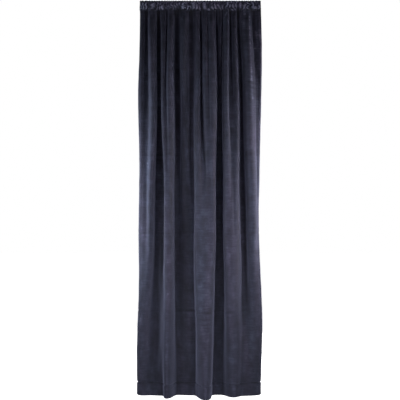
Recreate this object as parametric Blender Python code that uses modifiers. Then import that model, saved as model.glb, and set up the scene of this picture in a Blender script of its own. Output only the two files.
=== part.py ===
"""A velvet curtain: one panel, gathered on a straight heading, hanging in soft uneven folds.

Metres, +Z up. The origin is the middle of the heading's top edge, where a rail holds the curtain.
The curtain faces -Y, and X runs across it.
"""

import math
from collections import namedtuple

import bmesh
import bpy

# Driving dimensions
CURTAIN_DROP = 2.504
CUT_WIDTH = 1.35
HUNG_WIDTH = 0.766
HEADING_HEIGHT = 0.063
CLOTH_THICKNESS = 0.002
HEADING_THICKNESS = 0.003
SEAM_GAP = 0.0003

# The folds of the panel
VALLEY_INSET = 0.2
SWAY = 0.0025
SWAY_LENGTH = 0.83
SWAY_LEAD = 1.9
OPENING_AT_SEAM = 0.3
FOLDS_OPEN_BY = 0.13
ROW_DROPS = (0.067, 0.08, 0.1, 0.13, 0.21, 0.35, 0.56, 0.80, 1.04, 1.28, 1.52, 1.80, 2.08, 2.30)

# Where a quadratic curve through three corners starts, and where it is halfway
CURVE_WEIGHTS = ((0.5, 0.5, 0.0), (0.125, 0.75, 0.125))

# The small gathers of the heading
GATHERS = 36
POINTS_PER_GATHER = 5
HEADING_ROWS = 6
GATHER_DEPTH = 0.006
PINCHED_SHARE = 0.4
PUFF_DEPTH = 0.010
EDGE_SHARE = 0.17
SEAM_PULL_SHARE = 0.5

# How unevenly the gathers sit: waves that run across the heading, each with its size, how many
# of it there are, and its start in radians
Wave = namedtuple("Wave", "size count start")
CROWDING = (Wave(0.30, 2.3, 1.0), Wave(0.22, 5.1, 0.0))
SLANTING = (Wave(0.42, 8.7, 4.0),)
DEEPENING = (Wave(0.2, 6.4, 2.0),)
USUAL_DEPTH_SHARE = 0.8

# The look of the cloth
VELVET_COLOUR = (0.030, 0.032, 0.054, 1.0)
VELVET_ROUGHNESS = 0.85

MM = 0.001
PER_CENT = 0.01

# A level is a height at which the folds are described: its drop below the top edge, how far a
# fold's sides tuck in behind its face (mm), how far forward a face's edges stand as a share of
# its ridge, and how far the curtain's two side edges turn back (per cent of the full fold).
Level = namedtuple("Level", "drop tuck edge turn")
LEVELS = (
    Level(0.100, 0, 86, 5),
    Level(0.563, 4, 86, 8),
    Level(1.261, 9, 84, 10),
    Level(1.832, 12, 80, 12),
    Level(2.150, 13, 66, 14),
    Level(2.480, 18, 52, 20),
)

# A fold's face at one level: its left and right edge from the centre line (mm), how far it stands
# forward, how far the valley on its right does (per cent of the full fold), where its ridge lies
# between the two edges (per cent from the left), and how much further each edge falls back.
Face = namedtuple("Face", "left right reach valley ridge left_fall right_fall", defaults=(50, 0, 0))

# From the left side to the right, with a face for each level, from the heading down to the hem.
FOLDS = {
    "left_side": (
        Face(-383, -357, 60, 0), Face(-391, -361, 55, 36), Face(-388, -369, 56, 60),
        Face(-393, -376, 46, 51), Face(-403, -385, 28, 31), Face(-404, -388, 10, 12)),
    "left_fold": (
        Face(-328, -279, 100, 0, 30, 12, 8), Face(-321, -276, 100, 0, 34, 26, 12),
        Face(-334, -286, 96, 0, 36, 28, 14), Face(-352, -310, 57, 0, 52, 0, 14),
        Face(-372, -330, 36, -4, 50, 0, 8), Face(-378, -340, 14, 8)),
    "first_step": (
        Face(-266, -262, 0, 0), Face(-264, -260, 0, 0), Face(-258, -252, 0, 0),
        Face(-257, -243, 33, 50, 80, 8), Face(-262, -244, 36, 48, 80, 14), Face(-290, -246, 15, 13)),
    "first_left": (
        Face(-249, -222, 90, 10), Face(-247, -226, 92, 76), Face(-229, -212, 100, 100, 50, -12),
        Face(-228, -202, 98, 94, 60, 4), Face(-230, -204, 78, 74, 62, -7),
        Face(-229, -200, 74, 58, 66, -14)),
    "first_right": (
        Face(-203, -173, 100, 0), Face(-208, -170, 100, -8, 40, 0, 6),
        Face(-198, -165, 100, -28, 30, 0, 8), Face(-192, -165, 90, -16, 30, 0, 10),
        Face(-189, -162, 68, 0, 20, 0, 14), Face(-186, -161, 42, 0, 15, 0, 18)),
    "sinking_left": (
        Face(-121, -80, 100, 20, 40, 0, 8), Face(-120, -80, 82, 30, 35, 0, 16),
        Face(-122, -56, 33, 27, 92, 28), Face(-124, -54, 31, 24, 92, 24),
        Face(-128, -50, 28, 17, 88, 14), Face(-118, -50, 12, 6, 85, 2)),
    "middle_left": (
        Face(-38, -8, 90, 0, 75, 14), Face(-36, -4, 92, 28, 75, 12), Face(-37, 0, 99, 97, 40, -8),
        Face(-35, -5, 94, 95, 40), Face(-26, -4, 84, 90, 50, -12), Face(-20, 2, 50, 80, 60, -8, -6)),
    "middle": (
        Face(12, 42, 92, 45), Face(18, 50, 96, 88), Face(36, 60, 96, 97), Face(20, 44, 101, 100),
        Face(14, 34, 98, 97), Face(16, 32, 98, 96)),
    "middle_right": (
        Face(50, 93, 95, 0), Face(57, 104, 100, 0), Face(72, 100, 100, 0), Face(55, 92, 95, 0),
        Face(46, 82, 93, 0, 40, 0, -16), Face(44, 70, 84, 0, 30, 0, -20)),
    "sinking_right": (
        Face(117, 134, 80, 25), Face(118, 127, 30, 5), Face(116, 127, 6, 0),
        Face(114, 126, 3, 0), Face(110, 126, 3, 0), Face(108, 126, 3, 0)),
    "last_left": (
        Face(145, 176, 100, 10, 75, 10, 4), Face(138, 178, 100, 50, 78, 16, 10),
        Face(143, 186, 100, 97), Face(152, 186, 90, 91), Face(156, 186, 64, 68),
        Face(158, 184, 30, 44)),
    "last_right": (
        Face(199, 223, 90, 0, 60, 8), Face(212, 241, 87, 0, 62, 10),
        Face(210, 247, 98, 0, 55, 5, -2), Face(214, 258, 86, 6, 30, 0, 30),
        Face(210, 252, 68, 34, 45, 0, -7), Face(204, 238, 50, 20, 35)),
    "right_fold": (
        Face(255, 321, 100, 25, 74, 14, 24), Face(271, 343, 100, 50, 50, 34, 34),
        Face(290, 358, 97, 45, 70, 10, 24), Face(308, 354, 60, 53, 60, 18, 2),
        Face(308, 352, 36, 26, 50, 4), Face(298, 348, 15, 9)),
    "right_side": (
        Face(356, 384, 60, 0), Face(376, 389, 54, 0), Face(366, 373, 34, 0, 30, 0, 10),
        Face(366, 386, 42, 0), Face(370, 397, 26, 0), Face(364, 389, 10, 0)),
}


def mix(start, end, share):
    return start + (end - start) * share


def smooth_step(share):
    """Runs from 0 to 1 with level ends."""
    share = min(1.0, max(0.0, share))
    return share * share * (3 - 2 * share)


def between_levels(values, drop):
    """Reads a smooth curve through the levels' values at this drop."""
    drops = [level.drop for level in LEVELS]
    drop = min(drops[-1], max(drops[0], drop))
    last = len(drops) - 1
    i = next(n for n in range(last) if drop <= drops[n + 1])
    span = drops[i + 1] - drops[i]
    share = (drop - drops[i]) / span

    def slope(n):
        before, after = max(0, n - 1), min(last, n + 1)
        return (values[after] - values[before]) / (drops[after] - drops[before])

    leaving = share * (1 - share) ** 2 * span * slope(i)
    arriving = share**2 * (share - 1) * span * slope(i + 1)
    return mix(values[i], values[i + 1], smooth_step(share)) + leaving + arriving


def fold_faces(drop):
    """Each fold's face at this drop, in metres and shares, swaying a little as it falls."""
    faces = []
    for n, levels in enumerate(FOLDS.values()):
        sway = SWAY * math.sin(math.tau * drop / SWAY_LENGTH + SWAY_LEAD * n)
        left, right, *shares = (between_levels(column, drop) for column in zip(*levels))
        faces.append(Face(left * MM + sway, right * MM + sway, *(s * PER_CENT for s in shares)))
    return faces


def corners(drop):
    """The corners that lead the cloth's outline seen from above: (x, share of the full fold)."""
    tuck, edge, turn = (between_levels(column, drop) for column in list(zip(*LEVELS))[1:])
    faces = fold_faces(drop)
    found = []
    valley_before = 0.0
    for face, after in zip(faces, faces[1:] + [None]):
        ridge = mix(face.left, face.right, face.ridge)
        left_reach = mix(valley_before, face.reach, edge * PER_CENT) - face.left_fall
        right_reach = mix(face.valley, face.reach, edge * PER_CENT) - face.right_fall
        found += [(face.left, left_reach), (ridge, face.reach), (face.right, right_reach)]
        if after:
            inset = VALLEY_INSET * (after.left - face.right)
            start = face.right + inset - tuck * MM * (face.reach - face.valley) ** 2
            end = after.left - inset + tuck * MM * (after.reach - face.valley) ** 2
            found += [(start, face.valley), (end, face.valley)]
        valley_before = face.valley
    for side in (0, -1):
        x, reach = found[side]
        found[side] = (x, reach - turn * PER_CENT)
    return found


def curve_through(points):
    """The smooth line that these corners lead, with two points for each corner."""
    line = [points[0]]
    for trio in zip(points, points[1:], points[2:]):
        for weights in CURVE_WEIGHTS:
            line.append(tuple(
                sum(weight * point[axis] for weight, point in zip(weights, trio))
                for axis in range(2)))
    line.append(points[-1])
    return line


def stretch_lengths(line, depth):
    """The length of cloth from each point of the line to the next, when a full fold is this deep."""
    return [math.hypot(b[0] - a[0], depth * (b[1] - a[1])) for a, b in zip(line, line[1:])]


def depth_for(line, cloth):
    """How deep a full fold is where the line takes up this much cloth."""
    shallow, deep = 0.0, 0.5
    while deep - shallow > 1e-5:
        depth = (shallow + deep) / 2
        if sum(stretch_lengths(line, depth)) < cloth:
            shallow = depth
        else:
            deep = depth
    return deep


def panel_line(drop):
    """The cloth's outline seen from above at this drop, as (x, y), its weight balanced on the rail."""
    drop = max(drop, ROW_DROPS[0])
    line = curve_through(corners(drop))
    opened = smooth_step((drop - ROW_DROPS[0]) / (FOLDS_OPEN_BY - ROW_DROPS[0]))
    depth = depth_for(line, CUT_WIDTH) * mix(OPENING_AT_SEAM, 1, opened)
    lengths = stretch_lengths(line, depth)
    reaches = [(a[1] + b[1]) / 2 for a, b in zip(line, line[1:])]
    balance = sum(n * reach for n, reach in zip(lengths, reaches)) / sum(lengths)
    return [(x, -depth * (reach - balance)) for x, reach in line]


def waves(kinds, across):
    return sum(wave.size * math.sin(math.tau * wave.count * across + wave.start) for wave in kinds)


def line_at(line, x):
    """How far back a line of (x, y) lies at this x."""
    for (x0, y0), (x1, y1) in zip(line, line[1:]):
        if x <= x1:
            return mix(y0, y1, max(0.0, (x - x0) / (x1 - x0)))
    return line[-1][1]


def heading_point(across, up, seam):
    """A point of the gathered heading: across from its left, up from its seam, both 0 to 1."""
    x, z = HUNG_WIDTH * (across - 0.5), HEADING_HEIGHT * (up - 1)
    up = min(1 - EDGE_SHARE, max(EDGE_SHARE, up))
    gather = GATHERS * across + waves(CROWDING, across) + waves(SLANTING, across) * (up - 0.5)
    puff = math.sin(math.pi * (up - EDGE_SHARE) / (1 - 2 * EDGE_SHARE))
    depth = GATHER_DEPTH * mix(PINCHED_SHARE, 1, puff)
    depth *= USUAL_DEPTH_SHARE + waves(DEEPENING, across)
    pulled = 1 - smooth_step((up - EDGE_SHARE) / SEAM_PULL_SHARE)
    y = line_at(seam, x) * pulled + depth * math.cos(math.tau * gather) - PUFF_DEPTH * puff
    return x, y, z


def velvet(name):
    """The cloth's material."""
    material = bpy.data.materials.new(name)
    material.use_nodes = True
    shader = material.node_tree.nodes["Principled BSDF"]
    shader.inputs["Base Color"].default_value = VELVET_COLOUR
    shader.inputs["Roughness"].default_value = VELVET_ROUGHNESS
    shader.inputs["Metallic"].default_value = 0.0
    return material


def cloth(name, rows, thickness, material, collection):
    """A sheet of cloth through rows of points, each row from left to right, the top row first."""
    mesh = bpy.data.meshes.new(name)
    sheet = bmesh.new()
    bmesh.ops.create_grid(sheet, x_segments=len(rows[0]) - 1, y_segments=len(rows) - 1, size=1.0)
    for vertex in sheet.verts:
        column = round((vertex.co.x + 1) / 2 * (len(rows[0]) - 1))
        row = round((1 - vertex.co.y) / 2 * (len(rows) - 1))
        vertex.co = rows[row][column]
    sheet.to_mesh(mesh)
    sheet.free()
    mesh.shade_smooth()
    mesh.materials.append(material)
    piece = bpy.data.objects.new(name, mesh)
    collection.objects.link(piece)
    solid = piece.modifiers.new("Thickness", "SOLIDIFY")
    solid.thickness = thickness
    solid.offset = 0.0
    solid.use_even_offset = True
    return piece


def make_heading(collection):
    """The gathered band at the top."""
    columns = GATHERS * POINTS_PER_GATHER
    seam = panel_line(HEADING_HEIGHT)
    rows = [
        [heading_point(c / columns, 1 - r / HEADING_ROWS, seam) for c in range(columns + 1)]
        for r in range(HEADING_ROWS + 1)
    ]
    return cloth("heading", rows, HEADING_THICKNESS, velvet("heading_velvet"), collection)


def make_panel(collection):
    """The panel below the heading, with its hem at the bottom."""
    drops = (HEADING_HEIGHT + SEAM_GAP, *ROW_DROPS, CURTAIN_DROP)
    rows = [[(x, y, -drop) for x, y in panel_line(drop)] for drop in drops]
    return cloth("panel", rows, CLOTH_THICKNESS, velvet("panel_velvet"), collection)


def main():
    for old in list(bpy.data.objects):
        bpy.data.objects.remove(old)
    collection = bpy.data.collections.new("curtain")
    bpy.context.scene.collection.children.link(collection)
    make_heading(collection)
    make_panel(collection)


main()
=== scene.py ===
"""The velvet curtain, dressed: the panel and its gathered heading as fine cloth, in studio light."""

import math
from collections import namedtuple

import bpy
import numpy as np
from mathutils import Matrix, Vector


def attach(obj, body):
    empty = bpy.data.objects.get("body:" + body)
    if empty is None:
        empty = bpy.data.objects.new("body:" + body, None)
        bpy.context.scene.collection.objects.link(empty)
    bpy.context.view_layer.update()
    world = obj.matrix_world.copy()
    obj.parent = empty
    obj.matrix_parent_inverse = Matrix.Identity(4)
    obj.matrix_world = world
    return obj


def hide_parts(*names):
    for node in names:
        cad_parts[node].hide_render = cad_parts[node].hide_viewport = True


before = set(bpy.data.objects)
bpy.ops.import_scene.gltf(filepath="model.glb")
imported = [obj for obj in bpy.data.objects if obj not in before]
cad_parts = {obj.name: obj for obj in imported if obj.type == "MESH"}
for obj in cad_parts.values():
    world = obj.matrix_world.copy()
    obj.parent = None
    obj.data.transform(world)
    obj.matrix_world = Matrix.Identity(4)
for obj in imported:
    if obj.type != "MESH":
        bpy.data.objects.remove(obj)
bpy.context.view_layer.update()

MM = 0.001
PER_CENT = 0.01

# The curtain's sizes
CURTAIN_DROP = 2.504
CUT_WIDTH = 1.35
HUNG_WIDTH = 0.766
HEADING_HEIGHT = 0.063
CLOTH_THICKNESS = 0.002
HEADING_THICKNESS = 0.003
HEM_THICKENING = 0.0012
EDGE_THINNESS = 0.35
SEAM_GAP = 0.0003
HEM_HEIGHT = 0.081
SIDE_HEM_WIDTH = 0.025

# How the panel's folds are read from the tables below
VALLEY_INSET = 0.2
SWAY = 0.0025
SWAY_LENGTH = 0.83
SWAY_LEAD = 1.9
OPENING_AT_SEAM = 0.3
FOLDS_OPEN_FROM = 0.067
FOLDS_OPEN_BY = 0.13
DEEPEST_FOLD = 0.5
DEPTH_TOLERANCE = 1e-5
CURVE_STEPS = 8
PANEL_COLUMNS = 270

# A level is a height at which the folds are described: its drop below the top edge, how far a
# fold's sides tuck in behind its face (mm), how far forward a face's edges stand as a share of
# its ridge, and how far the curtain's two side edges turn back (per cent of the full fold).
Level = namedtuple("Level", "drop tuck edge turn")
LEVELS = (
    Level(0.100, 0, 86, 5),
    Level(0.563, 4, 86, 8),
    Level(1.261, 9, 84, 10),
    Level(1.832, 12, 80, 12),
    Level(2.150, 13, 66, 14),
    Level(2.480, 18, 52, 20),
)

# A fold's face at one level: its left and right edge from the centre line (mm), how far it stands
# forward, how far the valley on its right does (per cent of the full fold), where its ridge lies
# between the two edges (per cent from the left), and how much further each edge falls back.
Face = namedtuple("Face", "left right reach valley ridge left_fall right_fall", defaults=(50, 0, 0))

# From the left side to the right, with a face for each level, from the heading down to the hem.
FOLDS = {
    "left_side": (
        Face(-383, -357, 60, 0), Face(-391, -361, 55, 36), Face(-388, -369, 56, 60),
        Face(-393, -376, 46, 51), Face(-403, -385, 28, 31), Face(-404, -388, 10, 12)),
    "left_fold": (
        Face(-328, -279, 100, 0, 30, 12, 8), Face(-321, -276, 100, 0, 34, 26, 12),
        Face(-334, -286, 96, 0, 36, 28, 14), Face(-352, -310, 57, 0, 52, 0, 14),
        Face(-372, -330, 36, -4, 50, 0, 8), Face(-378, -340, 14, 8)),
    "first_step": (
        Face(-266, -262, 0, 0), Face(-264, -260, 0, 0), Face(-258, -252, 0, 0),
        Face(-257, -243, 33, 50, 80, 8), Face(-262, -244, 36, 48, 80, 14), Face(-290, -246, 15, 13)),
    "first_left": (
        Face(-249, -222, 90, 10), Face(-247, -226, 92, 76), Face(-229, -212, 100, 100, 50, -12),
        Face(-228, -202, 98, 94, 60, 4), Face(-230, -204, 78, 74, 62, -7),
        Face(-229, -200, 74, 58, 66, -14)),
    "first_right": (
        Face(-203, -173, 100, 0), Face(-208, -170, 100, -8, 40, 0, 6),
        Face(-198, -165, 100, -28, 30, 0, 8), Face(-192, -165, 90, -16, 30, 0, 10),
        Face(-189, -162, 68, 0, 20, 0, 14), Face(-186, -161, 42, 0, 15, 0, 18)),
    "sinking_left": (
        Face(-121, -80, 100, 20, 40, 0, 8), Face(-120, -80, 82, 30, 35, 0, 16),
        Face(-122, -56, 33, 27, 92, 28), Face(-124, -54, 31, 24, 92, 24),
        Face(-128, -50, 28, 17, 88, 14), Face(-118, -50, 12, 6, 85, 2)),
    "middle_left": (
        Face(-38, -8, 90, 0, 75, 14), Face(-36, -4, 92, 28, 75, 12), Face(-37, 0, 99, 97, 40, -8),
        Face(-35, -5, 94, 95, 40), Face(-26, -4, 84, 90, 50, -12), Face(-20, 2, 50, 80, 60, -8, -6)),
    "middle": (
        Face(12, 42, 92, 45), Face(18, 50, 96, 88), Face(36, 60, 96, 97), Face(20, 44, 101, 100),
        Face(14, 34, 98, 97), Face(16, 32, 98, 96)),
    "middle_right": (
        Face(50, 93, 95, 0), Face(57, 104, 100, 0), Face(72, 100, 100, 0), Face(55, 92, 95, 0),
        Face(46, 82, 93, 0, 40, 0, -16), Face(44, 70, 84, 0, 30, 0, -20)),
    "sinking_right": (
        Face(117, 134, 80, 25), Face(118, 127, 30, 5), Face(116, 127, 6, 0),
        Face(114, 126, 3, 0), Face(110, 126, 3, 0), Face(108, 126, 3, 0)),
    "last_left": (
        Face(145, 176, 100, 10, 75, 10, 4), Face(138, 178, 100, 50, 78, 16, 10),
        Face(143, 186, 100, 97), Face(152, 186, 90, 91), Face(156, 186, 64, 68),
        Face(158, 184, 30, 44)),
    "last_right": (
        Face(199, 223, 90, 0, 60, 8), Face(212, 241, 87, 0, 62, 10),
        Face(210, 247, 98, 0, 55, 5, -2), Face(214, 258, 86, 6, 30, 0, 30),
        Face(210, 252, 68, 34, 45, 0, -7), Face(204, 238, 50, 20, 35)),
    "right_fold": (
        Face(255, 321, 100, 25, 74, 14, 24), Face(271, 343, 100, 50, 50, 34, 34),
        Face(290, 358, 97, 45, 70, 10, 24), Face(308, 354, 60, 53, 60, 18, 2),
        Face(308, 352, 36, 26, 50, 4), Face(298, 348, 15, 9)),
    "right_side": (
        Face(356, 384, 60, 0), Face(376, 389, 54, 0), Face(366, 373, 34, 0, 30, 0, 10),
        Face(366, 386, 42, 0), Face(370, 397, 26, 0), Face(364, 389, 10, 0)),
}


def mix(start, end, share):
    return start + (end - start) * share


def smooth_step(share):
    """Runs from 0 to 1 with level ends."""
    share = np.clip(share, 0.0, 1.0)
    return share * share * (3 - 2 * share)


def step_between(value, start, end):
    """Runs smoothly from 0 at the start to 1 at the end."""
    return smooth_step((value - start) / (end - start))


# A ridge along a line, or a groove where its height is below 0
Ridge = namedtuple("Ridge", "height width")


def hump(distance, width):
    """A smooth bump of height 1 that is about this wide."""
    return np.exp(-(2 * distance / width) ** 2)


def raised(ridge, distance):
    """How high a ridge stands at this distance from its line."""
    return ridge.height * hump(distance, ridge.width)


NOISE_PERIOD = 128


def soft_noise(u, v, seed):
    """Smooth random values from -1 to 1, with a new one at each whole number of u and v."""
    lattice = np.random.default_rng(seed).uniform(-1, 1, (NOISE_PERIOD, NOISE_PERIOD))
    u, v = np.broadcast_arrays(u, v)
    column, row = np.floor(u).astype(int), np.floor(v).astype(int)
    across, down = smooth_step(u - column), smooth_step(v - row)

    def at(dx, dy):
        return lattice[(column + dx) % NOISE_PERIOD, (row + dy) % NOISE_PERIOD]

    upper = mix(at(0, 0), at(1, 0), across)
    lower = mix(at(0, 1), at(1, 1), across)
    return mix(upper, lower, down)


# The panel's folds, as in the CAD

def between_levels(values, drop):
    """Reads a smooth curve through the levels' values at this drop."""
    drops = [level.drop for level in LEVELS]
    drop = min(drops[-1], max(drops[0], drop))
    last = len(drops) - 1
    i = next(n for n in range(last) if drop <= drops[n + 1])
    span = drops[i + 1] - drops[i]
    share = (drop - drops[i]) / span

    def slope(n):
        before, after = max(0, n - 1), min(last, n + 1)
        return (values[after] - values[before]) / (drops[after] - drops[before])

    leaving = share * (1 - share) ** 2 * span * slope(i)
    arriving = share**2 * (share - 1) * span * slope(i + 1)
    return mix(values[i], values[i + 1], smooth_step(share)) + leaving + arriving


def fold_faces(drop):
    """Each fold's face at this drop, in metres and shares, swaying a little as it falls."""
    faces = []
    for n, levels in enumerate(FOLDS.values()):
        sway = SWAY * math.sin(math.tau * drop / SWAY_LENGTH + SWAY_LEAD * n)
        left, right, *shares = (between_levels(column, drop) for column in zip(*levels))
        faces.append(Face(left * MM + sway, right * MM + sway, *(s * PER_CENT for s in shares)))
    return faces


def corners(drop):
    """The corners that lead the cloth's outline seen from above: (x, share of the full fold)."""
    tuck, edge, turn = (between_levels(column, drop) for column in list(zip(*LEVELS))[1:])
    faces = fold_faces(drop)
    found = []
    valley_before = 0.0
    for face, after in zip(faces, faces[1:] + [None]):
        ridge = mix(face.left, face.right, face.ridge)
        left_reach = mix(valley_before, face.reach, edge * PER_CENT) - face.left_fall
        right_reach = mix(face.valley, face.reach, edge * PER_CENT) - face.right_fall
        found += [(face.left, left_reach), (ridge, face.reach), (face.right, right_reach)]
        if after:
            inset = VALLEY_INSET * (after.left - face.right)
            start = face.right + inset - tuck * MM * (face.reach - face.valley) ** 2
            end = after.left - inset + tuck * MM * (after.reach - face.valley) ** 2
            found += [(start, face.valley), (end, face.valley)]
        valley_before = face.valley
    for side in (0, -1):
        x, reach = found[side]
        found[side] = (x, reach - turn * PER_CENT)
    return found


def curve_through(points):
    """The smooth line that these corners lead, as two arrays."""
    points = np.array(points)
    before, corner, after = points[:-2, None], points[1:-1, None], points[2:, None]
    t = (np.arange(CURVE_STEPS) / CURVE_STEPS)[None, :, None]
    start, end = (before + corner) / 2, (corner + after) / 2
    curve = (1 - t) ** 2 * start + 2 * t * (1 - t) * corner + t**2 * end
    line = np.concatenate([points[:1], curve.reshape(-1, 2), points[-1:]])
    return line[:, 0], line[:, 1]


def depth_for(x, reach, cloth):
    """How deep a full fold is where the line takes up this much cloth."""
    shallow, deep = 0.0, DEEPEST_FOLD
    while deep - shallow > DEPTH_TOLERANCE:
        depth = (shallow + deep) / 2
        if np.hypot(np.diff(x), depth * np.diff(reach)).sum() < cloth:
            shallow = depth
        else:
            deep = depth
    return deep


def panel_line(drop, columns):
    """The cloth's outline from above at this drop, as evenly spaced points along the cloth."""
    drop = max(drop, FOLDS_OPEN_FROM)
    x, reach = curve_through(corners(drop))
    opened = step_between(drop, FOLDS_OPEN_FROM, FOLDS_OPEN_BY)
    depth = depth_for(x, reach, CUT_WIDTH) * mix(OPENING_AT_SEAM, 1, opened)
    lengths = np.hypot(np.diff(x), depth * np.diff(reach))
    balance = (lengths * (reach[1:] + reach[:-1]) / 2).sum() / lengths.sum()
    along = np.concatenate([[0], np.cumsum(lengths)]) / lengths.sum()
    even = np.linspace(0, 1, columns + 1)
    return np.interp(even, along, x), -depth * (np.interp(even, along, reach) - balance)


# The heading's gathers, and finer ones in the frill along its top

Wave = namedtuple("Wave", "size count start")
Gathers = namedtuple("Gathers", "count crowding")
HEADING_GATHERS = Gathers(36, (Wave(0.30, 2.3, 1.0), Wave(0.22, 5.1, 0.0)))
FRILL_GATHERS = Gathers(47, (Wave(0.34, 3.1, 2.0), Wave(0.2, 7.7, 0.5)))
STROKES = 31
# A soft noise over the heading: how strong it is, how many bumps it has across and up the heading,
# where it starts, and its seed
HeadingNoise = namedtuple("HeadingNoise", "size across up start seed")
UNEVEN_GATHERS = HeadingNoise(0.35, 31, 2.5, 0, 31)
SLANTED_GATHERS = HeadingNoise(0.75, 19, 1.6, 3, 21)
SHIFTED_GATHERS = HeadingNoise(0.0012, 60, 3, 0, 81)
LEANING_STROKES = HeadingNoise(1.8, 0.35 * STROKES, 0, 0.5, 91)
WANDERING_STROKES = HeadingNoise(0.9, 0.5 * STROKES, 3.4, 0, 92)
UNEVEN_STROKES = HeadingNoise(0.42, 1.2 * STROKES, 4.2, 0, 93)
RAGGED_SEAM = HeadingNoise(0.14, 1.4 * STROKES, 0, 0.5, 98)

# The heading's form: depths in metres, places up the heading as shares of its height
GATHER_FULLNESS = 0.75
GATHER_DEPTH = 0.015
GATHER_DEPTH_AT_SEAMS = 0.0055
PUFF_ROUNDNESS = 1.7
PUFF_DEPTH = 0.009
BELLY_SHARE = 0.36
BELLY_SLENDERNESS = 0.8
STROKE_FULLNESS = 0.68
STROKE_DEPTH = 0.008
FRILL_SHARE = 0.13
FRILL_GATHERS_FROM = 0.45
FRILL_GATHERS_BY = 0.85
FRILL_PINCH = Ridge(-0.004, 0.12)
FRILL_TIP_HEIGHT = 0.0028
FRILL_TIPS_FROM = 0.8
SHIFTS_BY = 0.25
SEAM_PULL_SHARE = 0.5
HEADING_SET_BACK = 0.004

# The heading's points: how many columns there are, and how far up the heading each row is
HEADING_COLUMNS = 800
TOP_ROWS = (1.0, 0.985)
MIDDLE_ROWS = np.linspace(0.97, 0.02, 34)
SEAM_ROWS = (0.005, 0.0)

# The heading's painted light and shade: a painted highlight above 0, painted shade below 0
HEADING_SHINE = 0.10
GATHER_SHADE = 0.3
GATHER_SHADE_LEFT_AT_SEAMS = 0.5
STROKE_SHADE = 0.95
STROKE_MIDDLE = 0.35
STROKE_SHADE_LEFT_AT_SEAMS = 0.6
FRILL_SHADING_KEPT = 0.7
FRILL_SHADING_FADES_FROM = 0.5
FRILL_SHADING_FADES_BY = 0.8
SEAM_SHADOW = Ridge(-0.30, 0.34)


def heading_noise(kind, across, up):
    return kind.size * soft_noise(across * kind.across, up * kind.up + kind.start, kind.seed)


def gathers_before(gathers, across):
    """How many gathers lie to the left of a place across the heading, with some closer together."""
    crowding = sum(wave.size * np.sin(math.tau * wave.count * across + wave.start)
                   for wave in gathers.crowding)
    return gathers.count * across + crowding


def puffs(gather):
    """Rounded crests with sharp valleys between them, from 0 in a valley to 1 on a crest."""
    return 1 - np.abs(2 * (gather % 1.0) - 1) ** PUFF_ROUNDNESS


def fullness(across, up):
    """How full the gathers are, which is uneven."""
    return GATHER_FULLNESS + heading_noise(UNEVEN_GATHERS, across, up)


def seam_gathers(across):
    """How far the small gathers stand forward where the heading meets the panel."""
    return GATHER_DEPTH_AT_SEAMS * puffs(gathers_before(HEADING_GATHERS, across)) * fullness(across, 0)


def belly(share):
    """The heading's bulge between its two seams, fullest below the middle."""
    share = np.clip(share, 0, 1)
    lower, upper = share / BELLY_SHARE, (1 - share) / (1 - BELLY_SHARE)
    return np.sin(math.pi / 2 * np.minimum(lower, upper)) ** BELLY_SLENDERNESS


def strokes(across, up):
    """Crumples that run up the heading at a slant, each 0 at its hollow and highest on its crest."""
    lean = heading_noise(LEANING_STROKES, across, up) * up
    wander = heading_noise(WANDERING_STROKES, across, up)
    crests = 0.5 + 0.5 * np.cos(math.tau * (across * STROKES + lean + wander))
    return crests * (STROKE_FULLNESS + heading_noise(UNEVEN_STROKES, across, up))


def heading_relief(across, up):
    """How far the heading stands forward, and its painted light and shade.

    Both are given at shares of its width, from its left, and of its height, from its lower seam.
    """
    bulge = belly(up / (1 - FRILL_SHARE))
    slant = heading_noise(SLANTED_GATHERS, across, up) * up
    lower = puffs(gathers_before(HEADING_GATHERS, across) + slant)
    upper = puffs(gathers_before(FRILL_GATHERS, across) + slant)
    gathers = mix(lower, upper, step_between(up, FRILL_GATHERS_FROM, FRILL_GATHERS_BY))
    uneven = fullness(across, up)
    stroke = strokes(across, up)
    depth = mix(GATHER_DEPTH_AT_SEAMS, GATHER_DEPTH, bulge)
    relief = (depth * gathers + PUFF_DEPTH * bulge) * uneven
    relief += STROKE_DEPTH * (stroke - 0.5) * bulge + raised(FRILL_PINCH, up - (1 - FRILL_SHARE))
    tone_and_painted_light = STROKE_SHADE * (stroke - STROKE_MIDDLE) + HEADING_SHINE
    tone_and_painted_light *= mix(STROKE_SHADE_LEFT_AT_SEAMS, 1, bulge)
    tone_and_painted_light += GATHER_SHADE * (gathers * uneven - 0.5) * mix(GATHER_SHADE_LEFT_AT_SEAMS, 1, bulge)
    # Less painted light and shade up in the frill
    tone_and_painted_light *= mix(1, FRILL_SHADING_KEPT, step_between(up, FRILL_SHADING_FADES_FROM, FRILL_SHADING_FADES_BY))
    ragged = up + heading_noise(RAGGED_SEAM, across, up)
    return relief, tone_and_painted_light + raised(SEAM_SHADOW, ragged)


# Cloth as a closed mesh

def sheet_normals(points):
    """Unit normals of a grid of points (rows, columns, 3), pointing to the front."""
    across = np.gradient(points, axis=1)
    down = np.gradient(points, axis=0)
    normal = np.cross(down, across)
    return normal / np.linalg.norm(normal, axis=2, keepdims=True)


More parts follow.
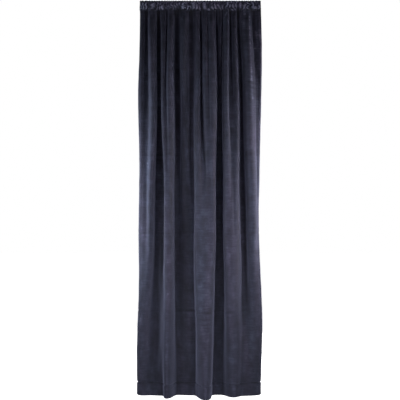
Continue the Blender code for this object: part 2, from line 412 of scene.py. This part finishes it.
def cloth_piece(name, points, thickness, tone_and_painted_light, materials):
    """A closed mesh of a sheet: a front and a back grid, half the thickness off the points.

    Each point carries its random tone and painted light and shade: a painted highlight above 0,
    painted shade below 0.
    """
    rows, columns = points.shape[:2]
    offset = sheet_normals(points) * thickness[..., None] / 2
    front, back = points + offset, points - offset
    count = rows * columns
    corner = np.arange(count).reshape(rows, columns)
    square = np.stack(
        [corner[:-1, :-1], corner[1:, :-1], corner[1:, 1:], corner[:-1, 1:]], axis=-1).reshape(-1, 4)
    loop = np.concatenate([corner[0, :-1], corner[:-1, -1], corner[-1, :0:-1], corner[:0:-1, 0]])
    after = np.roll(loop, -1)
    rim = np.stack([loop, after, after + count, loop + count], axis=-1)
    faces = np.concatenate([square, square[:, ::-1] + count, rim])
    mesh = bpy.data.meshes.new(name)
    mesh.from_pydata(np.concatenate([front, back]).reshape(-1, 3).tolist(), [], faces.tolist())
    for material in materials:
        mesh.materials.append(material)
    kinds = np.zeros(len(faces), dtype=np.int32)
    kinds[len(square):2 * len(square)] = 1
    mesh.polygons.foreach_set("material_index", kinds)
    painted_mark = mesh.attributes.new("tone_and_painted_light", "FLOAT", "POINT")
    painted_mark.data.foreach_set("value", np.tile(np.broadcast_to(tone_and_painted_light, (rows, columns)).ravel(), 2))
    mesh.shade_smooth()
    mesh.update()
    piece = bpy.data.objects.new(name, mesh)
    bpy.context.scene.collection.objects.link(piece)
    return piece


def thinned_at_edges(thickness):
    """The cloth's edges are rounded: its outermost points lie closer together."""
    thickness[0] *= EDGE_THINNESS
    thickness[-1] *= EDGE_THINNESS
    thickness[:, 0] *= EDGE_THINNESS
    thickness[:, -1] *= EDGE_THINNESS
    return thickness


# The panel's finer relief, which lies over its folds

# A soft noise over the panel: how strong it is, how long its bumps are along the cloth, its seed,
# and how tall they are
PanelNoise = namedtuple("PanelNoise", "size along seed down", defaults=(1.0,))
UNEVEN_CLOTH = (
    PanelNoise(0.0014, 0.060, 1, 0.19),
    PanelNoise(0.0005, 0.024, 2, 0.34),
    PanelNoise(0.0006, 0.045, 3, 0.055),
    PanelNoise(0.0003, 0.060, 4, 0.021),
)
RELIEF_STARTS_WITHIN = 0.05
MOTTLES = (PanelNoise(0.07, 0.045, 95, 0.07), PanelNoise(0.049, 0.02, 96, 0.055))
MOTTLES_LEFT = 0.3
MOTTLES_FADE_FROM = 0.9
MOTTLES_FADE_BY = 1.9
# Painted light and shade in fine streaks down from the heading, standing in for the shade of small
# gathers
PAINTED_RIB_SHADING = PanelNoise(0.12, 0.016, 97, 0.5)
RIB_SHADING_FADE = 0.22

# A crease goes across the panel: its drop, and how strong it is. It is a groove on a low swell, with
# painted shade in the groove and a painted highlight just below it, and it is wavy and uneven.
Crease = namedtuple("Crease", "drop strength")
CREASES = (Crease(0.49, 0.6), Crease(0.975, 0.8), Crease(1.47, 0.6), Crease(1.965, 1.2))
CREASE_SWELL = Ridge(0.0014, 0.05)
CREASE_GROOVE = Ridge(-0.0026, 0.018)
CREASE_PAINTED_SHADE = Ridge(-0.18, 0.016)
CREASE_PAINTED_HIGHLIGHT = Ridge(0.09, 0.014)
CREASE_HIGHLIGHT_BELOW = 0.013
WAVY_CREASES = PanelNoise(0.006, 0.11, 50)
UNEVEN_CREASES = PanelNoise(0.5, 0.07, 60)

# A crush mark: the middle of its slanted groove, how long it is across, how much it drops for each
# metre across, its width and its depth
Mark = namedtuple("Mark", "x drop length slope width depth")
CRUSH_MARKS = (
    Mark(0.342, 0.375, 0.040, -1.5, 0.014, 0.0024),
    Mark(0.352, 0.405, 0.030, -1.2, 0.014, 0.0020),
    Mark(0.335, 0.470, 0.060, 0.10, 0.016, 0.0020),
    Mark(0.322, 0.520, 0.080, 0.25, 0.016, 0.0028),
    Mark(0.312, 0.548, 0.080, 0.40, 0.016, 0.0026),
    Mark(0.325, 0.585, 0.070, 0.60, 0.016, 0.0024),
    Mark(-0.345, 0.470, 0.050, 0.30, 0.010, 0.0016),
    Mark(-0.350, 0.800, 0.060, -0.40, 0.014, 0.0018),
    Mark(0.010, 2.010, 0.090, 0.05, 0.010, 0.0016),
    Mark(0.020, 2.045, 0.070, -0.08, 0.010, 0.0014),
)
MARK_SHADE = 0.15

# A painted streak: where it lies at a drop, how wide and tall it is, how far it leans for each
# metre down, and its strength: a painted highlight above 0, painted shade below 0
PaintedStreak = namedtuple("PaintedStreak", "x drop width height lean shade")
PAINTED_STREAKS = (
    PaintedStreak(0.315, 0.24, 0.014, 0.55, 0.033, 0.23),
    PaintedStreak(0.327, 0.60, 0.015, 0.36, 0.040, 0.12),
    PaintedStreak(0.366, 0.26, 0.050, 0.50, 0.02, 0.13),
    PaintedStreak(-0.376, 0.10, 0.030, 0.10, 0.0, 0.08),
    PaintedStreak(-0.268, 1.72, 0.050, 0.45, -0.11, -0.10),
    PaintedStreak(-0.247, 1.80, 0.022, 0.85, 0.0, -0.12),
    PaintedStreak(0.294, 1.50, 0.026, 0.65, 0.02, -0.18),
    PaintedStreak(0.301, 1.86, 0.030, 0.28, 0.0, -0.14),
    PaintedStreak(0.271, 1.45, 0.022, 0.50, 0.03, 0.10),
    PaintedStreak(-0.360, 2.25, 0.110, 0.80, 0.0, 0.04),
    PaintedStreak(-0.110, 2.15, 0.130, 0.80, 0.0, -0.03),
    PaintedStreak(-0.180, 1.05, 0.100, 0.60, 0.0, -0.04),
    PaintedStreak(-0.020, 1.05, 0.070, 0.50, 0.0, -0.04),
    PaintedStreak(0.000, 0.55, 1.600, 0.40, 0.0, -0.03),
)

# The stitching of the bottom hem and of the side hems
HEM_GROOVE = Ridge(-0.0040, 0.011)
SIDE_HEM_GROOVE = Ridge(-0.0011, 0.007)
HEM_FULLNESS = 0.0009
HEM_FULLNESS_WITHIN = 0.012
HEM_PUCKERS = PanelNoise(0.0007, 0.014, 71)
PUCKERS_HEIGHT = 0.035
WAVY_HEM = PanelNoise(0.0025, 0.09, 70)
HEM_STITCHES = Ridge(0.55, 0.009)
UNEVEN_STITCHES = PanelNoise(0.45, 0.012, 72)
SIDE_HEM_STITCHES = Ridge(0.3, 0.006)
STITCH_SHADE = 0.20

# How the folds' edges are rounded towards the hem
ROUNDING_PASSES = 30
ROUNDED_FROM = 1.3
ROUNDED_BY = 2.45

# Painted light and shade on the folds: painted shade along the inner folds' sharp edges and in the
# hollows under the heading and low down, painted highlights on the fronts there and on the hem
EDGE_SHADE = 0.12
EDGES_TURN_FROM = 0.25
EDGES_TURN_BY = 0.6
EDGE_SHADE_FROM = 0.65
EDGE_SHADE_BY = 0.95
EDGE_SHADE_WITHIN = 0.27
EDGES_UNSHADED_BEYOND = 0.31
HOLLOW_SHADE = 0.24
HOLLOW_DEPTH = 0.010
HOLLOWS_FADE = 0.04
LOWER_DEPTH = 0.030
LOWER_HOLLOW_SHADE = 0.08
LOWER_FRONT_SHINE = 0.025
LOWER_FOLDS_FROM = 1.3
LOWER_FOLDS_BY = 1.7
HEM_SHINE = 0.06
HEM_SHINE_WITHIN = 0.02

# How the heading's gathers run out in the panel
GATHERS_FADE = 0.055
SEAM_GATHER_SHADE = 0.22
PANEL_SEAM_SHADOW = Ridge(-0.15, 0.035)
RAGGED_PANEL_SEAM = PanelNoise(0.008, 0.03, 99)
RAGGED_ROW = 0.5
TUCK_HEIGHT = 0.006
TUCK_DEPTH = 0.003

# How far apart the panel's rows of points are under the heading, on creases and crush marks, along
# the hem's seam (from that seam), in the hem, and elsewhere
FIRST_ROW_STEP = 0.002
SEAM_ROW_STEP = 0.006
SEAM_ROWS_END = 0.16
PLAIN_ROWS_START = 0.165
PLAIN_ROW_STEP = 0.027
FINE_STRETCHES = ((0.36, 0.60), (1.995, 2.06))
FINE_ROW_STEP = 0.008
CREASE_ROWS_REACH = 0.018
CREASE_ROW_STEP = 0.006
HEM_SEAM_CLEARANCE = 0.020
HEM_SEAM_ROWS_START = -0.012
HEM_SEAM_ROWS_END = 0.013
HEM_SEAM_ROW_STEP = 0.003
HEM_ROW_STEP = 0.011
HEM_EDGE_CLEARANCE = 0.004
LAST_ROW_STEP = 0.001


def panel_noise(kind, along, drop=0.0, copy=0):
    """A soft noise of this kind over the panel; each copy of it is another one of its kind."""
    return kind.size * soft_noise(along / kind.along, drop / kind.down, kind.seed + copy)


def near_seam(drop, fade):
    """Runs from 1 at the heading's seam towards 0 below it."""
    return np.exp(-np.maximum(drop - HEADING_HEIGHT, 0) / fade)


def panel_relief(along, drop, x):
    """How far the panel's cloth stands off its folds, and its random tone with painted light and
    shade.

    Both are given at distances along the cloth, at drops, and at places across.
    """
    relief = sum(panel_noise(kind, along, drop) for kind in UNEVEN_CLOTH)
    mottled = mix(1, MOTTLES_LEFT, step_between(drop, MOTTLES_FADE_FROM, MOTTLES_FADE_BY))
    tone_and_painted_light = mottled * sum(panel_noise(kind, along, drop) for kind in MOTTLES)
    tone_and_painted_light += panel_noise(PAINTED_RIB_SHADING, along, drop) * near_seam(drop, RIB_SHADING_FADE)
    for mark in CRUSH_MARKS:
        off = drop - mark.drop - mark.slope * (x - mark.x)
        crushed = hump(off, mark.width) * hump(x - mark.x, mark.length)
        relief -= mark.depth * crushed
        # Painted shade in each crush mark
        tone_and_painted_light -= MARK_SHADE * crushed
    for painted_mark in PAINTED_STREAKS:
        off = x - painted_mark.x - painted_mark.lean * (drop - painted_mark.drop)
        tone_and_painted_light += painted_mark.shade * hump(off, painted_mark.width) * hump(drop - painted_mark.drop, painted_mark.height)
    for n, crease in enumerate(CREASES):
        below = drop - crease.drop - panel_noise(WAVY_CREASES, along, copy=n)
        strength = crease.strength * (0.5 + panel_noise(UNEVEN_CREASES, along, copy=n))
        relief += strength * (raised(CREASE_SWELL, below) + raised(CREASE_GROOVE, below))
        tone_and_painted_light += strength * raised(CREASE_PAINTED_SHADE, below)
        tone_and_painted_light += strength * raised(CREASE_PAINTED_HIGHLIGHT, below - CREASE_HIGHLIGHT_BELOW)
    relief *= smooth_step((drop - HEADING_HEIGHT) / RELIEF_STARTS_WITHIN)
    hem, stitched = hem_relief(along, drop)
    return relief + hem, tone_and_painted_light - STITCH_SHADE * stitched


def hem_relief(along, drop):
    """The grooves of the hems' stitching with its puckers, and how strongly the thread shows."""
    below = drop - CURTAIN_DROP + HEM_HEIGHT - panel_noise(WAVY_HEM, along)
    inside = np.minimum(along, CUT_WIDTH - along) - SIDE_HEM_WIDTH
    relief = raised(HEM_GROOVE, below) + raised(SIDE_HEM_GROOVE, inside)
    relief += panel_noise(HEM_PUCKERS, along) * hump(below, PUCKERS_HEIGHT)
    relief += HEM_FULLNESS * smooth_step(below / HEM_FULLNESS_WITHIN)
    stitches = HEM_STITCHES.height + panel_noise(UNEVEN_STITCHES, along)
    stitched = stitches * hump(below, HEM_STITCHES.width) + raised(SIDE_HEM_STITCHES, inside)
    return relief, stitched


def round_edges(points, drop):
    """Rounds the folds' edges towards the hem, where the cloth hangs more loosely."""
    share = step_between(drop, ROUNDED_FROM, ROUNDED_BY)[..., None]
    for _ in range(ROUNDING_PASSES):
        middle = points[:, 1:-1]
        points[:, 1:-1] = mix(middle, (points[:, :-2] + 2 * middle + points[:, 2:]) / 4, share)


def painted_edge_shade(normals, drop, x):
    """How much painted shade lies along the sharp, sideways-turned edges of the inner folds, from 0 to
    1.
    """
    turned = step_between(np.abs(normals[..., 0]), EDGES_TURN_FROM, EDGES_TURN_BY)
    lower = step_between(drop, EDGE_SHADE_FROM, EDGE_SHADE_BY)
    inner = 1 - step_between(np.abs(x), EDGE_SHADE_WITHIN, EDGES_UNSHADED_BEYOND)
    return turned * lower * inner


def painted_light_on_folds(points, normals, drop):
    """Painted light and shade that follow the folds' own shape."""
    x, y = points[..., 0], points[..., 1]
    lower = step_between(drop, LOWER_FOLDS_FROM, LOWER_FOLDS_BY)
    depth = np.tanh(y / LOWER_DEPTH)
    on_hem = smooth_step((drop - CURTAIN_DROP + HEM_HEIGHT) / HEM_SHINE_WITHIN)
    tone_and_painted_light = -EDGE_SHADE * painted_edge_shade(normals, drop, x)
    tone_and_painted_light -= HOLLOW_SHADE * np.tanh(y / HOLLOW_DEPTH) * near_seam(drop, HOLLOWS_FADE)
    tone_and_painted_light -= LOWER_HOLLOW_SHADE * np.maximum(depth, 0) * lower
    tone_and_painted_light -= LOWER_FRONT_SHINE * np.minimum(depth, 0) * lower
    tone_and_painted_light += HEM_SHINE * on_hem * (1 + depth) / 2
    return tone_and_painted_light


def panel_drops():
    """The drops of the panel's rows: close together by the seams, wider between them."""
    top, hem = HEADING_HEIGHT + SEAM_GAP, CURTAIN_DROP - HEM_HEIGHT
    finer = [np.arange(start, end, FINE_ROW_STEP) for start, end in FINE_STRETCHES]
    for crease in CREASES:
        if not any(start < crease.drop < end for start, end in FINE_STRETCHES):
            first, last = crease.drop - CREASE_ROWS_REACH, crease.drop + CREASE_ROWS_REACH
            finer.append(np.arange(first, last, CREASE_ROW_STEP))
    finer = np.concatenate(finer)
    plain = np.arange(PLAIN_ROWS_START, hem - HEM_SEAM_CLEARANCE, PLAIN_ROW_STEP)
    clear = np.abs(plain[:, None] - finer).min(axis=1) > FINE_ROW_STEP
    between = np.sort(np.concatenate([plain[clear], finer]))
    return np.concatenate([
        [top - TUCK_HEIGHT, top, top + FIRST_ROW_STEP],
        np.arange(top + SEAM_ROW_STEP, SEAM_ROWS_END, SEAM_ROW_STEP),
        between,
        np.arange(hem + HEM_SEAM_ROWS_START, hem + HEM_SEAM_ROWS_END, HEM_SEAM_ROW_STEP),
        np.arange(hem + HEM_SEAM_CLEARANCE, CURTAIN_DROP - HEM_EDGE_CLEARANCE, HEM_ROW_STEP),
        [CURTAIN_DROP - LAST_ROW_STEP, CURTAIN_DROP],
    ])


def make_panel(materials):
    drops = panel_drops()
    lines = [panel_line(drop, PANEL_COLUMNS) for drop in drops]
    points = np.array([np.stack([x, y, np.full_like(x, -drop)], axis=1)
                       for drop, (x, y) in zip(drops, lines)])
    along = np.linspace(0, CUT_WIDTH, PANEL_COLUMNS + 1)[None, :]
    drop = drops[:, None]
    round_edges(points, drop)
    normals = sheet_normals(points)
    relief, tone_and_painted_light = panel_relief(along, drop, points[..., 0])
    tone_and_painted_light += painted_light_on_folds(points, normals, drop)
    points += normals * relief[..., None]
    gathered = seam_gathers(points[..., 0] / HUNG_WIDTH + 0.5)
    fading = near_seam(drop, GATHERS_FADE)
    points[..., 1] -= gathered * fading
    tone_and_painted_light += SEAM_GATHER_SHADE * (gathered / GATHER_DEPTH_AT_SEAMS - 0.5) * fading
    ragged = drop - HEADING_HEIGHT - panel_noise(RAGGED_PANEL_SEAM, along, RAGGED_ROW)
    tone_and_painted_light += raised(PANEL_SEAM_SHADOW, ragged)
    points[0, :, 1] += TUCK_DEPTH
    thickness = np.full(points.shape[:2], CLOTH_THICKNESS)
    thickness += HEM_THICKENING * (drop > CURTAIN_DROP - HEM_HEIGHT)
    piece = cloth_piece("panel_cloth", points, thinned_at_edges(thickness), tone_and_painted_light, materials)
    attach(piece, "root")
    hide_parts("panel")
    return piece


def make_heading(materials):
    across = np.linspace(0, 1, HEADING_COLUMNS + 1)[None, :]
    up = np.concatenate([TOP_ROWS, MIDDLE_ROWS, SEAM_ROWS])[:, None]
    relief, tone_and_painted_light = heading_relief(across, up)
    x = HUNG_WIDTH * (across - 0.5)
    seam_x, seam_y = panel_line(HEADING_HEIGHT, HEADING_COLUMNS)
    pulled = 1 - smooth_step(up / SEAM_PULL_SHARE)
    points = np.zeros(relief.shape + (3,))
    points[..., 0] = x + heading_noise(SHIFTED_GATHERS, across, up) * smooth_step(up / SHIFTS_BY)
    points[..., 1] = mix(HEADING_SET_BACK, np.interp(x, seam_x, seam_y), pulled) - relief
    tip = FRILL_TIP_HEIGHT * (puffs(gathers_before(FRILL_GATHERS, across)) - 0.5)
    points[..., 2] = HEADING_HEIGHT * (up - 1) + tip * step_between(up, FRILL_TIPS_FROM, 1)
    thickness = np.full(relief.shape, HEADING_THICKNESS)
    piece = cloth_piece("heading_cloth", points, thinned_at_edges(thickness), tone_and_painted_light, materials)
    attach(piece, "root")
    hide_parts("heading")
    return piece


# Materials

# Colours from painted hollow shade through the velvet's navy to painted highlights on crests
PAINTED_HOLLOW_SHADE = (0.0020, 0.0020, 0.0040)
DEEP_NAVY = (0.0098, 0.0100, 0.0182)
NAVY = (0.0218, 0.0222, 0.0388)
LIT_NAVY = (0.0440, 0.0445, 0.0735)
PAINTED_HIGHLIGHT = (0.21, 0.213, 0.30)
NAVY_AND_PAINTED_LIGHT_COLOURS = ((0.20, PAINTED_HOLLOW_SHADE), (0.35, DEEP_NAVY), (0.50, NAVY), (0.65, LIT_NAVY), (0.85, PAINTED_HIGHLIGHT))
BLUISH = (0.87, 0.96, 1.0)
PURPLISH = (1.0, 0.91, 0.98)
TINTS = ((0.38, BLUISH), (0.62, PURPLISH))
REVERSE_DARK = (0.020, 0.021, 0.036)
REVERSE_LIGHT = (0.034, 0.036, 0.058)
REVERSE_COLOURS = ((0.3, REVERSE_DARK), (0.7, REVERSE_LIGHT))

# A grain is a noise in the cloth: how large its patches are along x, y and z (metres), how many finer
# noises it has, and how strong those are.
Grain = namedtuple("Grain", "size detail roughness")
STREAKS = Grain((0.05, 0.05, 0.009), 4, 0.6)
PATCHES = Grain((0.04, 0.04, 0.07), 4, 0.6)
HUES = Grain((0.07, 0.07, 0.5), 3, 0.5)
LINES = Grain((0.06, 0.06, 0.008), 3, 0.5)
TUFTS = Grain((0.0012, 0.0012, 0.0016), 2, 0.6)
REVERSE_PATCHES = Grain((0.02, 0.02, 0.03), 4, 0.6)
THREADS = Grain((0.0009, 0.0009, 0.006), 2, 0.5)
CROSSING_THREADS = Grain((0.006, 0.006, 0.0009), 2, 0.5)
PATCHES_SHARE = 0.6
CRUSHED_ROUGHNESS = 0.72
LIT_ROUGHNESS = 0.92


def node(tree, kind, links=None, **values):
    """Adds a node, sets its values, and links or sets the named inputs."""
    made = tree.nodes.new(kind)
    for name, value in values.items():
        setattr(made, name, value)
    for name, source in (links or {}).items():
        if isinstance(source, bpy.types.NodeSocket):
            tree.links.new(source, made.inputs[name])
        else:
            made.inputs[name].default_value = source
    return made


def grain(tree, kind):
    """The value of a grain's noise at each place on the cloth."""
    place = node(tree, "ShaderNodeTexCoord").outputs["Object"]
    scale = tuple(1 / size for size in kind.size)
    mapped = node(tree, "ShaderNodeMapping", {"Vector": place, "Scale": scale}).outputs["Vector"]
    noise = {"Vector": mapped, "Scale": 1.0, "Detail": kind.detail, "Roughness": kind.roughness}
    return node(tree, "ShaderNodeTexNoise", noise).outputs["Fac"]


def ramp(tree, value, stops):
    """Turns a value into a colour through stops of (position, colour)."""
    made = node(tree, "ShaderNodeValToRGB", {"Fac": value})
    elements = made.color_ramp.elements
    while len(elements) < len(stops):
        elements.new(0.5)
    for element, (position, colour) in zip(elements, stops):
        element.position = position
        element.color = (*colour, 1)
    return made.outputs["Color"]


def bump(tree, height, strength, distance, below=None):
    """Raises the surface by a height, over another bump if there is one."""
    links = {"Height": height, "Strength": strength, "Distance": distance}
    if below:
        links["Normal"] = below
    return node(tree, "ShaderNodeBump", links).outputs["Normal"]


def new_material(name):
    """A new material with its node tree and its shader."""
    material = bpy.data.materials.new(name)
    material.use_nodes = True
    tree = material.node_tree
    return material, tree, tree.nodes["Principled BSDF"]


def set_inputs(shader, values):
    for name, value in values.items():
        shader.inputs[name].default_value = value


def velvet():
    """Deep navy velvet with a soft sheen, streaked where its nap leans, and painted light and shade.
    """
    material, tree, shader = new_material("navy_velvet")
    grains = {"Factor": PATCHES_SHARE, "A": grain(tree, STREAKS), "B": grain(tree, PATCHES)}
    uneven = node(tree, "ShaderNodeMix", grains).outputs["Result"]
    tone_and_painted_light = node(tree, "ShaderNodeAttribute", attribute_name="tone_and_painted_light").outputs["Fac"]
    shade = node(tree, "ShaderNodeMath", {0: uneven, 1: tone_and_painted_light}, operation="ADD").outputs["Value"]
    colour = ramp(tree, shade, NAVY_AND_PAINTED_LIGHT_COLOURS)
    tint = ramp(tree, grain(tree, HUES), TINTS)
    tinted = node(tree, "ShaderNodeVectorMath", {0: colour, 1: tint}, operation="MULTIPLY")
    tree.links.new(tinted.outputs["Vector"], shader.inputs["Base Color"])
    lined = bump(tree, grain(tree, LINES), strength=0.3, distance=0.001)
    tufted = bump(tree, grain(tree, TUFTS), strength=0.5, distance=0.0006, below=lined)
    tree.links.new(tufted, shader.inputs["Normal"])
    limits = {"Value": shade, "To Min": CRUSHED_ROUGHNESS, "To Max": LIT_ROUGHNESS}
    rough = node(tree, "ShaderNodeMapRange", limits).outputs["Result"]
    tree.links.new(rough, shader.inputs["Roughness"])
    set_inputs(shader, {
        "Specular IOR Level": 0.25,
        "Sheen Weight": 0.45,
        "Sheen Roughness": 0.6,
        "Sheen Tint": (0.58, 0.61, 0.92, 1),
    })
    return material


def velvet_reverse():
    """The woven side of the velvet: flatter and duller, with a fine grid of threads."""
    material, tree, shader = new_material("navy_velvet_reverse")
    colour = ramp(tree, grain(tree, REVERSE_PATCHES), REVERSE_COLOURS)
    tree.links.new(colour, shader.inputs["Base Color"])
    threads = bump(tree, grain(tree, THREADS), strength=0.4, distance=0.0005)
    weave = bump(tree, grain(tree, CROSSING_THREADS), strength=0.4, distance=0.0005, below=threads)
    tree.links.new(weave, shader.inputs["Normal"])
    set_inputs(shader, {"Roughness": 0.9, "Specular IOR Level": 0.2, "Sheen Weight": 0.08})
    return material


# The studio

IMAGE_PIXELS = 400
METRES_PER_PIXEL = 0.006326
CURTAIN_CENTRE_PIXEL = 200.3
TOP_EDGE_PIXEL = 0.75
CAMERA_DISTANCE = 5.5
SENSOR_WIDTH = 36
FLOOR_GAP = 0.02
FLOOR_SIZE = 30


def make_camera():
    """Level, straight in front, with the whole frame as wide as the photo's at the curtain."""
    data = bpy.data.cameras.new("camera")
    data.sensor_width = SENSOR_WIDTH
    data.lens = SENSOR_WIDTH * CAMERA_DISTANCE / (IMAGE_PIXELS * METRES_PER_PIXEL)
    camera = bpy.data.objects.new("camera", data)
    centre = IMAGE_PIXELS / 2
    x = (centre - CURTAIN_CENTRE_PIXEL) * METRES_PER_PIXEL
    z = (TOP_EDGE_PIXEL - centre) * METRES_PER_PIXEL
    camera.location = (x, -CAMERA_DISTANCE, z)
    camera.rotation_euler = (math.radians(90), 0, 0)
    bpy.context.scene.collection.objects.link(camera)
    bpy.context.scene.camera = camera


def make_floor():
    """A pale floor that glows white and throws no light on the curtain."""
    bpy.ops.mesh.primitive_plane_add(size=FLOOR_SIZE, location=(0, 0, -CURTAIN_DROP - FLOOR_GAP))
    floor = bpy.context.object
    floor.name = "floor"
    material, _, shader = new_material("pale_floor")
    set_inputs(shader, {
        "Base Color": (0.9, 0.9, 0.9, 1),
        "Roughness": 0.9,
        "Specular IOR Level": 0.1,
        "Emission Color": (1, 1, 1, 1),
        "Emission Strength": 1.0,
    })
    floor.data.materials.append(material)
    floor.visible_diffuse = False
    floor.visible_glossy = False


def make_light(name, location, target, size, power, colour, spread):
    """A softbox that faces a point, its light kept within a spread in degrees."""
    data = bpy.data.lights.new(name, "AREA")
    data.shape = "RECTANGLE"
    data.size, data.size_y = size
    data.energy = power
    data.color = colour
    data.spread = math.radians(spread)
    light = bpy.data.objects.new(name, data)
    light.location = location
    facing = Vector(target) - Vector(location)
    light.rotation_euler = facing.to_track_quat("-Z", "Y").to_euler()
    light.visible_camera = False
    bpy.context.scene.collection.objects.link(light)


def make_world():
    """A surround that is white to the eye and gives hardly any light."""
    world = bpy.data.worlds.new("studio")
    bpy.context.scene.world = world
    world.use_nodes = True
    tree = world.node_tree
    tree.nodes.clear()
    seen = node(tree, "ShaderNodeBackground", {"Color": (1, 1, 1, 1), "Strength": 1.0})
    cast = node(tree, "ShaderNodeBackground", {"Color": (0.9, 0.93, 1, 1), "Strength": 0.01})
    ray = node(tree, "ShaderNodeLightPath").outputs["Is Camera Ray"]
    chosen = node(tree, "ShaderNodeMixShader", {0: ray, 1: cast.outputs[0], 2: seen.outputs[0]})
    node(tree, "ShaderNodeOutputWorld", {"Surface": chosen.outputs[0]})


# A softbox: where it stands, the point that it faces, its width and height, its power and tint,
# and how widely it spreads its light (degrees)
Softbox = namedtuple("Softbox", "place target size power tint spread", defaults=(180,))
SOFTBOXES = {
    "left_high": Softbox((-1.15, -0.15, -0.75), (0, 0, -0.75), (0.3, 0.4), 2.5, (0.90, 0.97, 1), 110),
    "left_side": Softbox((-1.15, -0.15, -1.40), (0, 0, -1.40), (0.3, 0.4), 3.5, (0.90, 0.97, 1), 95),
    "left_wide": Softbox((-1.00, -0.90, -1.25), (0, 0, -1.25), (0.4, 0.4), 1.9, (0.92, 0.97, 1), 110),
    "left_front": Softbox((-0.50, -1.20, -2.00), (0, 0, -2.00), (0.5, 0.4), 2.5, (0.97, 0.98, 1), 150),
    "right_high": Softbox((1.15, -0.15, -0.75), (0, 0, -0.75), (0.3, 0.4), 3.5, (1, 0.96, 0.95), 110),
    "right_side": Softbox((1.15, -0.15, -1.40), (0, 0, -1.40), (0.3, 0.4), 2.3, (1, 0.96, 0.95), 95),
    "right_wide": Softbox((1.00, -0.90, -1.25), (0, 0, -1.25), (0.4, 0.4), 3.5, (1, 0.96, 0.95), 110),
    "right_front": Softbox((0.50, -1.20, -2.00), (0, 0, -2.00), (0.5, 0.4), 2.4, (1, 0.98, 0.97), 150),
    "left_low": Softbox((-0.80, -0.90, -2.50), (-0.35, 0, -2.35), (0.5, 0.4), 0.6, (1, 0.97, 1)),
    "right_low": Softbox((0.80, -0.90, -2.50), (0.35, 0, -2.35), (0.5, 0.4), 0.6, (1, 0.97, 1)),
    "floor_bounce": Softbox((0, -0.8, -2.5), (0, -0.25, -1.9), (2.4, 0.6), 7, (1, 1, 1)),
    "top": Softbox((0, -0.14, 0.09), (0, 0, -0.015), (0.8, 0.04), 0.07, (1, 0.95, 0.98), 50),
    "back": Softbox((0.7, 2.6, -0.9), (0, 0, -1.3), (2.0, 2.0), 130, (1, 1, 1)),
}


def make_studio():
    make_camera()
    make_floor()
    make_world()
    for name, box in SOFTBOXES.items():
        make_light(name, *box)
    bpy.context.scene.view_settings.view_transform = "Standard"


make_studio()
front, reverse = velvet(), velvet_reverse()
panel = make_panel([front, reverse])
heading = make_heading([front, reverse])
